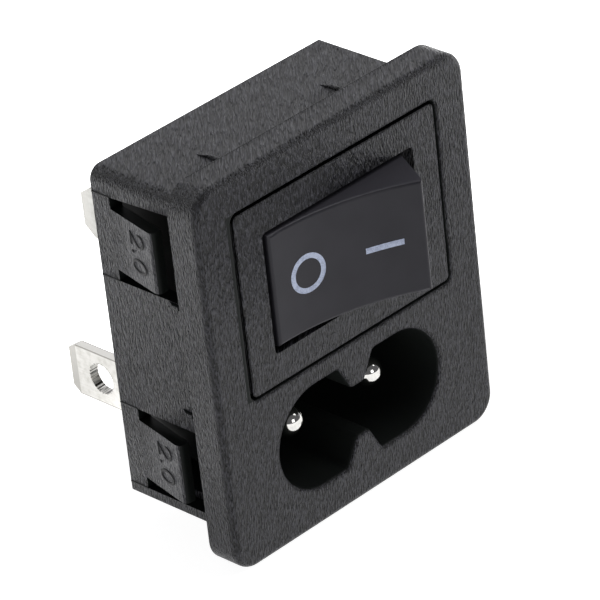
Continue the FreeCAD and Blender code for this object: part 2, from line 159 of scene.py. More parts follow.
class ShaderTree:
    """Node tree that grows by expressions on its values."""

    def __init__(self, tree: bpy.types.NodeTree) -> None:
        """Keep the tree's nodes and links."""
        self.nodes = tree.nodes
        self.links = tree.links

    def feed(self, socket: bpy.types.NodeSocket, operand: Operand) -> None:
        """Link a socket to a value, or set its number, vector or colour.

        Args:
            socket: The input socket.
            operand: What goes into it.
        """
        if isinstance(operand, Value):
            self.links.new(operand.socket, socket)
        elif socket.type == "RGBA":
            socket.default_value = (*operand, 1.0)
        else:
            socket.default_value = operand

    def node(
        self,
        kind: str,
        settings: Mapping[str, object],
        sockets: Mapping[str | int, Operand],
        output: str | int = 0,
    ) -> Value:
        """Add a node, with its settings first and its sockets after them.

        Args:
            kind: The node's type.
            settings: The node's own properties.
            sockets: Values or links of its input sockets.
            output: The output socket that is wanted.

        Returns:
            The wanted output.
        """
        made = self.nodes.new(kind)
        for name, setting in settings.items():
            setattr(made, name, setting)
        for key, operand in sockets.items():
            self.feed(made.inputs[key], operand)
        return Value(self, made.outputs[output])

    def math(self, operation: str, *operands: Operand) -> Value:
        """Result of a Math node on one or two values."""
        return self.node("ShaderNodeMath", {"operation": operation}, dict(enumerate(operands)))

    def product(self, first: Operand, second: Operand) -> Value:
        """Two vectors multiplied axis by axis."""
        return self.node("ShaderNodeVectorMath", {"operation": "MULTIPLY"}, {0: first, 1: second})

    def weigh(self, values: Sequence[Value], shares: Sequence[float]) -> Value:
        """Sum of values, each multiplied by its share.

        Args:
            values: What is added up.
            shares: The weight of each value.

        Returns:
            The sum.
        """
        total = values[0] * shares[0]
        for value, share in zip(values[1:], shares[1:]):
            total = total + value * share
        return total

    def place(self) -> Value:
        """Place on the piece, in the CAD frame's metres."""
        return self.node("ShaderNodeTexCoord", {}, {}, "Object")

    def facing(self) -> Value:
        """Way that the surface looks, in the CAD frame."""
        return self.node("ShaderNodeTexCoord", {}, {}, "Normal")

    def axis(self, vector: Value, name: str) -> Value:
        """One coordinate of a vector, by the name of its axis."""
        return self.node("ShaderNodeSeparateXYZ", {}, {0: vector}, name)

    def noise(self, place: Value, cell: Triple, detail: float = 2.0, waver: float = 0.0) -> Value:
        """Cloudy noise whose lumps have a given size along each axis.

        Args:
            place: Where the noise is read.
            cell: Size of a lump along X, Y and Z, in metres.
            detail: How many finer layers it has.
            waver: How far its lumps bend out of line.

        Returns:
            The noise, from 0 to 1.
        """
        spread = self.product(place, tuple(1.0 / size for size in cell))
        return self.node(
            "ShaderNodeTexNoise",
            {},
            {"Vector": spread, "Scale": 1.0, "Detail": detail, "Distortion": waver},
            "Fac",
        )

    def blend(self, amount: Operand, first: Operand, second: Operand) -> Value:
        """Mix of two colours.

        Args:
            amount: Share of the second colour.
            first: Colour where the share is 0.
            second: Colour where the share is 1.

        Returns:
            The mixed colour.
        """
        sockets = {"Factor": amount, 6: first, 7: second}
        return self.node("ShaderNodeMix", {"data_type": "RGBA"}, sockets, 2)


class FinishTree(ShaderTree):
    """Node tree of one material."""

    def __init__(self, name: str) -> None:
        """Start a material with nothing but its output.

        Args:
            name: The material's name.
        """
        self.material = bpy.data.materials.new(name)
        self.material.use_nodes = True
        super().__init__(self.material.node_tree)
        self.nodes.clear()
        self.output = self.nodes.new("ShaderNodeOutputMaterial")

    def relief(self, height: Value, depth: float, strength: float) -> Value:
        """Normal of a surface with fine relief.

        Args:
            height: The relief, from 0 to 1.
            depth: How deep the whole relief is, in metres.
            strength: How much of it shows.

        Returns:
            The bumped normal.
        """
        sockets = {"Height": height, "Distance": depth, "Strength": strength}
        return self.node("ShaderNodeBump", {}, sockets)

    def shader(self, sockets: Mapping[str, Operand]) -> Value:
        """A Principled shader with its sockets filled by name."""
        return self.node("ShaderNodeBsdfPrincipled", {}, sockets)

    def finish(self, surface: Value) -> bpy.types.Material:
        """The material, with a shader on its surface."""
        self.feed(self.output.inputs["Surface"], surface)
        return self.material


@dataclass(frozen=True)
class FrontWindow:
    """Upright rectangle in the front of a moulding."""

    middle_x: float
    middle_z: float
    half_width: float
    half_height: float
    fade: float = 0.12 * MM

    def mask(self, tree: FinishTree, place: Value) -> Value:
        """Share of the window at a place: 1 within it, 0 beside, above or below it.

        Args:
            tree: The finish's tree.
            place: Where the share is wanted.

        Returns:
            The share.
        """
        across = abs(tree.axis(place, "X") - self.middle_x)
        rise = abs(tree.axis(place, "Z") - self.middle_z)
        within = across.ramp(self.half_width + self.fade, self.half_width)
        return within * rise.ramp(self.half_height + self.fade, self.half_height)


@dataclass(frozen=True)
class OuterSkin:
    """Where a moulding is grained: on outer faces and the walls of an opening, but not in a recess,
    whose window may reach past the recess onto the front face as painted shade round the gap.

    A side or front face is told by its reach, which is its place multiplied by the way it looks.
    All that stands above the crown or below the keel is grained, small nibs too.
    """

    side_reach: float = 10.3 * MM
    front_reach: float = 1.3 * MM
    reach_fade: float = 0.4 * MM
    crown: float = 12.9 * MM
    keel: float = -13.3 * MM
    fade: float = 0.12 * MM
    recess_painted_shade: FrontWindow | None = None
    opening: FrontWindow | None = None
    opening_depth: Couple = (1.0 * MM, -1.2 * MM)

    def mask(self, tree: FinishTree, place: Value) -> Value:
        """Share of grain at a place: 1 on the outer faces, 0 on what the polished core formed.

        Args:
            tree: The finish's tree.
            place: Where the share is wanted.

        Returns:
            The share.
        """
        reach = tree.product(place, tree.facing())
        level = tree.axis(place, "Z")
        side = tree.axis(reach, "X").ramp(self.side_reach, self.side_reach + self.reach_fade)
        front = tree.axis(reach, "Y").ramp(self.front_reach, self.front_reach + self.reach_fade)
        # painted shade: the recess, and a band of front face round its gap, take the darker core
        # colour
        if self.recess_painted_shade:
            front = front * (1.0 - self.recess_painted_shade.mask(tree, place))
        if self.opening:
            wall = tree.axis(place, "Y").ramp(*self.opening_depth)
            front = front.at_least(self.opening.mask(tree, place) * wall)
        crown = level.ramp(self.crown, self.crown + self.fade)
        keel = level.ramp(self.keel, self.keel - self.fade)
        return side.at_least(front).at_least(crown).at_least(keel)


@dataclass(frozen=True)
class PaintedHighlightFaces:
    """Faces of the snap tongues that stand out past the shell, tinted paler as a painted highlight
    for the light that they catch.
    """

    out_x: Couple = (12.4 * MM, 12.7 * MM)
    behind_y: Couple = (2.4 * MM, 2.6 * MM)
    share: float = 0.66

    def mask(self, tree: FinishTree, place: Value) -> Value:
        """Share of the painted highlight tint at a place.

        Args:
            tree: The finish's tree.
            place: Where the share is wanted.

        Returns:
            The share.
        """
        out = abs(tree.axis(place, "X")).ramp(*self.out_x)
        return out * tree.axis(place, "Y").ramp(*self.behind_y) * self.share


@dataclass(frozen=True)
class PunchedHole:
    """Wall of a hole punched along X, torn into dark streaks along the punch's way."""

    middle_y: float
    middle_z: float
    radius: float
    burr: float = 0.05 * MM
    tear: Triple = (4 * MM, 0.17 * MM, 0.17 * MM)
    tear_span: Couple = (0.49, 0.6)

    def mask(self, tree: FinishTree, place: Value) -> Value:
        """Share of torn metal at a place.

        Args:
            tree: The finish's tree.
            place: Where the share is wanted.

        Returns:
            The share.
        """
        along = tree.axis(place, "Y") - self.middle_y
        rise = tree.axis(place, "Z") - self.middle_z
        wall = abs(tree.math("SQRT", along * along + rise * rise) - self.radius)
        torn = tree.noise(place, self.tear).ramp(*self.tear_span)
        return wall.ramp(2 * self.burr, self.burr) * torn


@dataclass(frozen=True)
class TabEdges:
    """Upright tab on either side: painted shade lines on its long edges, a painted highlight on its
    rims and painted shade on its nose.
    """

    middle_x: float
    middle_z: float
    nose_y: float
    half_thickness: float = 0.4 * MM
    half_width: float = 2.15 * MM
    line: float = 0.11 * MM
    fade: float = 0.03 * MM

    def painted_nose_shade(self, tree: FinishTree, place: Value) -> Value:
        """Share of the bevelled end at a place, which takes painted shade."""
        return tree.axis(place, "Y").ramp(self.nose_y, self.nose_y + self.fade)

    def painted_rim_highlights(self, tree: FinishTree, place: Value) -> Value:
        """Share of the narrow faces over and under the tab at a place, which take a painted
        highlight.
        """
        rise = abs(tree.axis(place, "Z") - self.middle_z)
        return rise.ramp(self.half_width - self.fade, self.half_width)

    def mask(self, tree: FinishTree, place: Value) -> Value:
        """Share of painted edge shade at a place.

        Args:
            tree: The finish's tree.
            place: Where the share is wanted.

        Returns:
            The share.
        """
        from_middle = abs(abs(tree.axis(place, "X")) - self.middle_x)
        from_face = abs(from_middle - self.half_thickness)
        from_edge = abs(abs(tree.axis(place, "Z") - self.middle_z) - self.half_width)
        return from_face.ramp(self.line, 0.0) * from_edge.ramp(self.line, 0.0)


@dataclass(frozen=True)
class GrainedPlastic:
    """Black moulded plastic: fine streaked grain on its skin, polished elsewhere and darker there
    as painted shade.
    """

    name: str
    skin: OuterSkin = OuterSkin()
    # painted highlight: a paler tint on the tongue faces for the light that they catch
    painted_highlight_faces: PaintedHighlightFaces | None = None
    painted_highlight_tint: Colour = (0.09, 0.09, 0.1)
    dark: Colour = (0.006, 0.006, 0.0072)
    light: Colour = (0.05, 0.05, 0.06)
    streak: Triple = (0.11 * MM, 0.11 * MM, 0.5 * MM)
    wrinkle: Triple = (0.5 * MM, 0.5 * MM, 1.4 * MM)
    cloud: Triple = (6 * MM, 6 * MM, 8 * MM)
    grain_detail: float = 1.0
    waver: float = 0.5
    tone_shares: Triple = (0.83, 0.14, 0.03)
    tone_span: Couple = (0.438, 0.572)
    height_shares: Couple = (0.85, 0.15)
    flat_span: Couple = (0.68, 0.74)
    flat_turn: float = 45.0
    flat_stretch: Triple = (0.8, 0.8, 0.36)
    relief_depth: float = 0.6 * MM
    relief_strength: float = 1.0
    roughness: float = 0.3
    roughness_spread: float = 0.1
    gloss: float = 0.35
    # polished core colour, its darkness painted shade inside the windows, the well and the recess
    polish_and_shade_dark: Colour = (0.012, 0.0138, 0.013)
    polish_and_shade_light: Colour = (0.016, 0.0182, 0.0172)
    core_roughness: float = 0.3
    core_roughness_spread: float = 0.1
    core_gloss: float = 0.07

    def grain_place(self, tree: FinishTree, place: Value) -> Value:
        """Place to read the grain at, which swings round so that level faces are streaked too.

        Args:
            tree: The finish's tree.
            place: Place on the piece.

        Returns:
            The place, with its streaks' way along Z.
        """
        turned = place
        for kind, angle in (("Z_AXIS", self.flat_turn), ("X_AXIS", QUARTER_TURN)):
            sockets = {"Vector": turned, "Angle": math.radians(angle)}
            turned = tree.node("ShaderNodeVectorRotate", {"rotation_type": kind}, sockets)
        level = abs(tree.axis(tree.facing(), "Z")).ramp(*self.flat_span)
        sockets = {"Factor": level, 4: place, 5: tree.product(turned, self.flat_stretch)}
        return tree.node("ShaderNodeMix", {"data_type": "VECTOR"}, sockets, 1)

    def material(self) -> bpy.types.Material:
        """Grain in the colour, the gloss and the relief.

        Returns:
            The material.
        """
        tree = FinishTree(self.name)
        place = tree.place()
        grain = self.grain_place(tree, place)
        streaks = tree.noise(grain, self.streak, self.grain_detail, self.waver)
        wrinkles = tree.noise(grain, self.wrinkle, self.grain_detail)
        clouds = tree.noise(place, self.cloud)
        tone = tree.weigh((streaks, wrinkles, clouds), self.tone_shares).ramp(*self.tone_span)
        height = tree.weigh((streaks, wrinkles), self.height_shares)
        colour = tree.blend(tone, self.dark, self.light)
        # painted highlight on the tongue faces
        if self.painted_highlight_faces:
            colour = tree.blend(self.painted_highlight_faces.mask(tree, place), colour, self.painted_highlight_tint)
        skin = tree.shader({
            "Base Color": colour,
            "Roughness": self.roughness + self.roughness_spread * streaks,
            "Specular IOR Level": self.gloss,
            "Normal": tree.relief(height, self.relief_depth, self.relief_strength),
        })
        # painted shade: the polished core is darker than the skin
        core = tree.shader({
            "Base Color": tree.blend(clouds, self.polish_and_shade_dark, self.polish_and_shade_light),
            "Roughness": self.core_roughness + self.core_roughness_spread * clouds,
            "Specular IOR Level": self.core_gloss,
        })
        share = self.skin.mask(tree, place)
        return tree.finish(tree.node("ShaderNodeMixShader", {}, {0: share, 1: core, 2: skin}))


@dataclass(frozen=True)
class SatinPlastic:
    """Smooth moulded plastic with a faint haze, whose level faces may take a painted highlight, a
    paler tint for the light from above.
    """

    name: str
    dark: Colour
    light: Colour
    haze: Triple = (3 * MM, 3 * MM, 3 * MM)
    speck: Triple = (0.06 * MM, 0.06 * MM, 0.06 * MM)
    relief_depth: float = 0.008 * MM
    relief_strength: float = 0.35
    roughness: float = 0.3
    roughness_spread: float = 0.1
    gloss: float = 0.35
    tone_shares: Couple = (0.7, 0.3)
    tone_span: Couple = (0.3, 0.7)
    roughness_shares: Couple = (0.6, 0.4)
    painted_flank_highlight: Colour | None = None
    painted_flank_highlight_span: Couple = (0.6, 0.85)

    def material(self) -> bpy.types.Material:
        """Haze in the colour and fine specks in the gloss.

        Returns:
            The material.
        """
        tree = FinishTree(self.name)
        place = tree.place()
        specks = tree.noise(place, self.speck)
        haze = tree.noise(place, self.haze)
        tone = tree.weigh((haze, specks), self.tone_shares).ramp(*self.tone_span)
        unevenness = tree.weigh((specks, haze), self.roughness_shares)
        colour = tree.blend(tone, self.dark, self.light)
        # painted highlight: level faces tinted paler for the light from above
        if self.painted_flank_highlight:
            level = abs(tree.axis(tree.facing(), "Z")).ramp(*self.painted_flank_highlight_span)
            colour = tree.blend(level, colour, self.painted_flank_highlight)
        return tree.finish(tree.shader({
            "Base Color": colour,
            "Roughness": self.roughness + self.roughness_spread * unevenness,
            "Specular IOR Level": self.gloss,
            "Normal": tree.relief(specks, self.relief_depth, self.relief_strength),
        }))


@dataclass(frozen=True)
class StreakedMetal:
    """Plated or rolled metal with fine streaks along the way it was worked."""

    name: str
    bright: Colour
    dull: Colour
    streak: Triple
    stain: Triple = (0.5 * MM, 0.5 * MM, 0.5 * MM)
    detail: float = 3.0
    tone_shares: Couple = (0.65, 0.35)
    tone_span: Couple = (0.35, 0.75)
    roughness_shares: Couple = (0.5, 0.5)
    relief_depth: float = 0.006 * MM
    relief_strength: float = 0.3
    roughness: float = 0.24
    roughness_spread: float = 0.2
    hole: PunchedHole | None = None
    edges: TabEdges | None = None
    torn: Colour = (0.035, 0.033, 0.03)
    # painted light on the tabs: shade on the long edges, a highlight on the rims, shade on the nose
    painted_edge_shade: Colour = (0.3, 0.29, 0.26)
    painted_rim_highlight: Colour = (0.86, 0.845, 0.8)
    painted_nose_shade: Colour = (0.45, 0.44, 0.415)

    def material(self) -> bpy.types.Material:
        """Streaks in the gloss and relief, faint stains in the colour.

        Returns:
            The material.
        """
        tree = FinishTree(self.name)
        place = tree.place()
        streaks = tree.noise(place, self.streak, self.detail)
        stains = tree.noise(place, self.stain, self.detail)
        tone = tree.weigh((stains, streaks), self.tone_shares).ramp(*self.tone_span)
        unevenness = tree.weigh((streaks, stains), self.roughness_shares)
        colour = tree.blend(tone, self.bright, self.dull)
        if self.edges:
            # painted highlight on the rims, painted shade on the nose and the long edges
            colour = tree.blend(self.edges.painted_rim_highlights(tree, place), colour, self.painted_rim_highlight)
            colour = tree.blend(self.edges.painted_nose_shade(tree, place), colour, self.painted_nose_shade)
            colour = tree.blend(self.edges.mask(tree, place), colour, self.painted_edge_shade)
        if self.hole:
            colour = tree.blend(self.hole.mask(tree, place), colour, self.torn)
        return tree.finish(tree.shader({
            "Base Color": colour,
            "Metallic": 1.0,
            "Roughness": self.roughness + self.roughness_spread * unevenness,
            "Normal": tree.relief(streaks, self.relief_depth, self.relief_strength),
        }))


@dataclass(frozen=True)
class PrintedInk:
    """Pale pad-printed ink, a little uneven where it lies thin."""

    name: str
    full: Colour
    thin: Colour
    grain: Triple = (0.09 * MM, 0.09 * MM, 0.09 * MM)
    patch: Triple = (0.5 * MM, 0.5 * MM, 0.5 * MM)
    tone_shares: Couple = (0.5, 0.5)
    tone_span: Couple = (0.42, 0.62)
    relief_depth: float = 0.004 * MM
    relief_strength: float = 0.3
    roughness: float = 0.5
    roughness_spread: float = 0.2

    def material(self) -> bpy.types.Material:
        """Patches of thinner ink over fine grain.

        Returns:
            The material.
        """
        tree = FinishTree(self.name)
        place = tree.place()
        grain = tree.noise(place, self.grain)
        patches = tree.noise(place, self.patch)
        tone = tree.weigh((patches, grain), self.tone_shares).ramp(*self.tone_span)
        return tree.finish(tree.shader({
            "Base Color": tree.blend(tone, self.full, self.thin),
            "Roughness": self.roughness + self.roughness_spread * grain,
            "Normal": tree.relief(grain, self.relief_depth, self.relief_strength),
        }))


def coat(nodes: Iterable[str], finish: bpy.types.Material) -> None:
    """Give CAD nodes their finish.

    Args:
        nodes: The nodes' names.
        finish: The material that every slot of the nodes takes.
    """
    for node in nodes:
        for slot in frame["nodes"][node].material_slots:
            slot.material = finish
        LOG.info("%s is in %s", node, finish.name)


def carry(piece: bpy.types.Object, body: Body) -> bpy.types.Object:
    """Put a made piece in the scene, on its body.

    Args:
        piece: The new object.
        body: The body that it rides on.

    Returns:
        The piece.
    """
    bpy.context.scene.collection.objects.link(piece)
    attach(piece, body.value)
    LOG.info("%s rides on %s", piece.name, body.value)
    return piece


def fine_line(name: str, strokes: Iterable[Stroke], radius: float) -> bpy.types.Object:
    """Round thin strokes in one mesh.

    Args:
        name: The object's name.
        strokes: The points of each stroke, and whether it closes.
        radius: Radius of the strokes.

    Returns:
        The mesh object.
    """
    curve = bpy.data.curves.new(name, "CURVE")
    curve.dimensions = "3D"
    curve.bevel_depth = radius
    curve.bevel_resolution = STROKE_ROUNDNESS
    curve.use_fill_caps = True
    for points, closed in strokes:
        spline = curve.splines.new("POLY")
        spline.points.add(len(points) - 1)
        for target, point in zip(spline.points, points):
            target.co = (*point, 1.0)
        spline.use_cyclic_u = closed
    holder = bpy.data.objects.new(name, curve)
    mesh = bpy.data.meshes.new_from_object(holder)
    mesh.name = name
    bpy.data.objects.remove(holder)
    bpy.data.curves.remove(curve)
    return bpy.data.objects.new(name, mesh)


def rocker_at_rest() -> Matrix:
    """Turn and move from a rocker drawn level at its pivot to the rocker at rest.

    Returns:
        The move, as a matrix.
    """
    joints = frame["record"]["behaviour"]["joints"]
    pivot = next(joint for joint in joints if joint["name"] == ROCKER_JOINT)
    half_travel = math.radians(sum(pivot["range_deg"]) / 2)
    return Matrix.Translation(pivot["pos_m"]) @ Matrix.Rotation(-half_travel, 4, "Z")


class Assembly:
    """A group of the object's pieces that are made and dressed together."""

    def build(self) -> None:
        """Make the pieces that the frame lacks, if the group has any."""

    def dress(self) -> None:
        """Give every piece of the group its finish."""
        raise NotImplementedError


@dataclass
class InletHousing(Assembly):
    """Moulded housing: its grain, the mark on each snap tongue and the lines its mould leaves, all
    dark as painted shade, with painted shade lines under the nibs and along the flange's rear top
    edge.
    """

    node: str = "inlet_housing"
    half_width: float = 12.17 * MM
    rear_y: float = 10.05 * MM
    # painted shade: reaches past the recess onto the flange's front round the switch
    recess_painted_shade: FrontWindow = FrontWindow(-0.3 * MM, 5.45 * MM, 10.84 * MM, 7.75 * MM)
    tongue_root_y: float = 8.23 * MM
    tongue_tip_y: float = 2.92 * MM
    tongue_lift: float = 1.1 * MM
    tongue_heights: Couple = (8.31 * MM, -9.51 * MM)
    window_half: float = 3.46 * MM
    digit_base: float = 2.41 * MM
    digit_height: float = 1.66 * MM
    digit_width: float = 1.0 * MM
    digit_gap: float = 0.65 * MM
    nought_shift: float = 0.15 * MM
    bow_start: float = 200.0
    bow_sweep: float = 235.0
    dot_across: float = 0.05 * MM
    dot_length: float = 0.16 * MM
    nib_heights: Couple = (4.3 * MM, -4.8 * MM)
    nib_run: Couple = (2.05 * MM, 3.3 * MM)
    flange_top: float = 15.8 * MM
    # painted shade line along the flange's rear top edge
    rear_edge_shade_half: float = 12.0 * MM
    rear_edge_shade_r: float = 0.06 * MM
    rear_edge_shade_stand: float = 0.02 * MM
    digit_r: float = 0.16 * MM
    digit_stand: float = 0.07 * MM
    stroke_r: float = 0.12 * MM
    stroke_stand: float = 0.045 * MM
    arc_steps: int = 16
    lines: list[bpy.types.Object] = field(default_factory=list)

    def build(self) -> None:
        """Draw the marks and the mould's lines beside each window, a painted shadow line under each
        nib and a painted shade line along the flange's rear top edge.
        """
        for side in Side:
            for index, word in enumerate(("upper", "lower")):
                height = self.tongue_heights[index]
                # painted shadow: a dark line under each nib
                nib_shadow_stroke = self.flat_line(side, self.nib_run, self.nib_heights[index])
                for kind, strokes, radius in (
                    ("tongue_mark", self.mark_strokes(side, height), self.digit_r),
                    ("slide_line", self.slide_lines(side, height), self.stroke_r),
                    ("nib_painted_shadow", [nib_shadow_stroke], self.stroke_r),
                ):
                    line = fine_line(f"{kind}_{word}_{side.name.lower()}", strokes, radius)
                    self.lines.append(carry(line, Body.HOUSING))
        # painted shade along the flange's rear top edge
        rear_edge_shade = fine_line("parting_line", [self.rear_edge_shade_stroke()], self.rear_edge_shade_r)
        self.lines.append(carry(rear_edge_shade, Body.HOUSING))

    def dress(self) -> None:
        """Grain the moulding and colour its lines dark as painted shade."""
        skin = OuterSkin(recess_painted_shade=self.recess_painted_shade)
        coat([self.node], GrainedPlastic("grained_black_housing", skin, PaintedHighlightFaces()).material())
        # painted shade: every drawn line takes this dark colour
        shadow = SatinPlastic(
            "moulded_line_shadow",
            dark=(0.004, 0.004, 0.0045),
            light=(0.007, 0.007, 0.008),
            roughness=0.5,
        ).material()
        for line in self.lines:
            line.data.materials.append(shadow)

    def on_tongue(self, side: Side, height: float, along: float, across: float) -> Vector:
        """Place of a stroke's middle on a tongue's outer face.

        Args:
            side: The side that the tongue is on.
            height: Middle of the tongue.
            along: Distance from the tongue's root towards its tip.
            across: Distance from the tongue's middle, to the left of a reader of the mark.

        Returns:
            The place, sunk so that only the top of the stroke stands out.
        """
        run = self.tongue_root_y - self.tongue_tip_y
        length = math.hypot(run, self.tongue_lift)
        sink = self.digit_r - self.digit_stand
        out = self.half_width + (along * self.tongue_lift - sink * run) / length
        back = self.tongue_root_y - (along * run + sink * self.tongue_lift) / length
        return Vector((side.value * out, back, height - side.value * across))

    def mark_strokes(self, side: Side, height: float) -> list[Stroke]:
        """Strokes of the panel size 2.0 on one tongue, its digits' tops towards the front.

        Args:
            side: The side that the tongue is on.
            height: Middle of the tongue.

        Returns:
            The strokes.
        """
        half = self.digit_width / 2
        two_middle = self.digit_gap + half
        bow_middle = self.digit_base + self.digit_height - half
        two = []
        for step in range(self.arc_steps + 1):
            turn = math.radians(self.bow_start - self.bow_sweep * step / self.arc_steps)
            two.append((bow_middle + half * math.sin(turn), two_middle - half * math.cos(turn)))
        two.append((self.digit_base, two_middle + half))
        two.append((self.digit_base, two_middle - half))
        nought = []
        for step in range(2 * self.arc_steps):
            turn = math.pi * step / self.arc_steps
            rise = self.digit_height / 2 * (1 + math.sin(turn))
            across = half * math.cos(turn) - two_middle + self.nought_shift
            nought.append((self.digit_base + rise, across))
        dot = [(self.digit_base + rise, self.dot_across) for rise in (0.0, self.dot_length)]
        return [
            ([self.on_tongue(side, height, *pair) for pair in pairs], closed)
            for pairs, closed in ((two, False), (dot, False), (nought, True))
        ]

    def flat_line(self, side: Side, run: Couple, height: float) -> Stroke:
        """Line along Y on a side of the shell.

        Args:
            side: The side that it is on.
            run: Where it starts and ends.
            height: Its height.

        Returns:
            The stroke.
        """
        x = side.value * (self.half_width + self.stroke_stand - self.stroke_r)
        return [Vector((x, y, height)) for y in run], False

    def rear_edge_shade_stroke(self) -> Stroke:
        """Painted shade line along the upper rear edge of the flange.

        Returns:
            The stroke.
        """
        level = self.flange_top - self.rear_edge_shade_r + self.rear_edge_shade_stand
        ends = [Vector((side.value * self.rear_edge_shade_half, -self.rear_edge_shade_r, level)) for side in Side]
        return ends, False

    def slide_lines(self, side: Side, height: float) -> list[Stroke]:
        """Lines that the mould's slide leaves from a window's rear corners to the rear edge.

        Args:
            side: The side that the window is on.
            height: Middle of the window.

        Returns:
            The strokes.
        """
        run = (self.tongue_root_y, self.rear_y)
        edges = (-self.window_half, self.window_half)
        return [self.flat_line(side, run, height + edge) for edge in edges]


@dataclass
class PinsAndTerminals(Assembly):
    """Contact pins of the well and the tabs behind them."""

    pins: tuple[str, str] = ("contact_pin_left", "contact_pin_right")
    terminals: tuple[str, str] = ("inlet_terminal_left", "inlet_terminal_right")
    middle_z: float = -8.37 * MM
    tab_x: float = 7.7 * MM
    nose_y: float = 19.25 * MM
    hole_y: float = 16.65 * MM
    hole_r: float = 1.25 * MM

    def dress(self) -> None:
        """Dress the pins in nickel and the tabs in tin."""
        nickel = StreakedMetal(
            "turned_nickel",
            bright=(0.86, 0.85, 0.82),
            dull=(0.74, 0.73, 0.7),
            streak=(2 * MM, 0.05 * MM, 2 * MM),
            roughness=0.05,
            roughness_spread=0.08,
        )
        tin = StreakedMetal(
            "tinned_strip",
            bright=(0.75, 0.737, 0.709),
            dull=(0.575, 0.565, 0.524),
            streak=(0.06 * MM, 1.4 * MM, 0.06 * MM),
            roughness=0.3,
            roughness_spread=0.25,
            hole=PunchedHole(self.hole_y, self.middle_z, self.hole_r),
            edges=TabEdges(self.tab_x, self.middle_z, self.nose_y),
        )
        coat(self.pins, nickel.material())
        coat(self.terminals, tin.material())


@dataclass
class SwitchWorks(Assembly):
    """Switch case with its bezel, and the moving contact gear inside it."""

    case: str = "switch_case"
    plunger: str = "plunger"
    spring: str = "plunger_spring"
    bridge: str = "contact_bridge"
    contacts: tuple[str, str] = ("moving_contact", "fixed_contact")
    terminals: tuple[str, str] = ("common_terminal", "switched_terminal")
    middle_z: float = 5.19 * MM
    tab_x: float = 6.1 * MM
    nose_y: float = 17.25 * MM
    opening: FrontWindow = FrontWindow(0.0, 5.19 * MM, 8.1 * MM, 5.15 * MM)
    slide: str = "plunger_slide"
    coil_foot: float = 0.57 * MM
    coil_height: float = 2.521 * MM
    coil_r: float = 0.72 * MM
    coil_turns: int = 4
    wire_r: float = 0.15 * MM
    turn_steps: int = 32
    plunger_travel: float = 0.4 * MM
    coil: bpy.types.Object = field(init=False)

    def build(self) -> None:
        """Wind the spring that the plunger presses together in the rocker's stem."""
        place = rocker_at_rest()
        turned = []
        for step in range(self.coil_turns * self.turn_steps + 1):
            turn = 2 * math.pi * step / self.turn_steps
            rise = self.coil_height * step / (self.coil_turns * self.turn_steps)
            around = Vector((self.coil_r * math.cos(turn), 0.0, -self.coil_r * math.sin(turn)))
            turned.append(place @ (around + Vector((0.0, self.coil_foot + rise, 0.0))))
        wound = fine_line("plunger_coil", [(turned, False)], self.wire_r)
        self.coil = carry(wound, Body.ROCKER)
        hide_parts(self.spring)
        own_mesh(self.coil)

    def dress(self) -> None:
        """Dress the case and each piece of the gear."""
        bezel = GrainedPlastic(
            "grained_black_bezel",
            OuterSkin(opening=self.opening),
            # painted shade: the case's hidden core walls are near black
            polish_and_shade_dark=(0.002, 0.0022, 0.0022),
            polish_and_shade_light=(0.003, 0.0033, 0.0033),
            core_gloss=0.03,
        )
        coat([self.case], bezel.material())
        acetal = SatinPlastic("white_acetal", dark=(0.7, 0.69, 0.65), light=(0.8, 0.79, 0.76))
        coat([self.plunger], acetal.material())
        steel = StreakedMetal(
            "spring_wire",
            bright=(0.62, 0.62, 0.64),
            dull=(0.42, 0.42, 0.44),
            streak=(0.05 * MM, 0.3 * MM, 0.05 * MM),
        )
        brass = StreakedMetal(
            "rolled_brass",
            bright=(0.83, 0.64, 0.33),
            dull=(0.66, 0.46, 0.21),
            streak=(1.4 * MM, 0.06 * MM, 0.06 * MM),
        )
        silver = StreakedMetal(
            "contact_silver",
            bright=(0.93, 0.92, 0.9),
            dull=(0.74, 0.72, 0.69),
            streak=(0.08 * MM, 0.08 * MM, 0.08 * MM),
        )
        tin = StreakedMetal(
            "tinned_tab",
            bright=(0.47, 0.467, 0.448),
            dull=(0.405, 0.4, 0.376),
            streak=(0.06 * MM, 1.4 * MM, 0.06 * MM),
            roughness=0.3,
            roughness_spread=0.25,
            edges=TabEdges(self.tab_x, self.middle_z, self.nose_y),
            # painted highlight on the rims and painted shade on the nose
            painted_rim_highlight=(0.52, 0.51, 0.48),
            painted_nose_shade=(0.4, 0.395, 0.375),
        )
        self.coil.data.materials.append(steel.material())
        coat([self.bridge], brass.material())
        coat(self.contacts, silver.material())
        coat(self.terminals, tin.material())


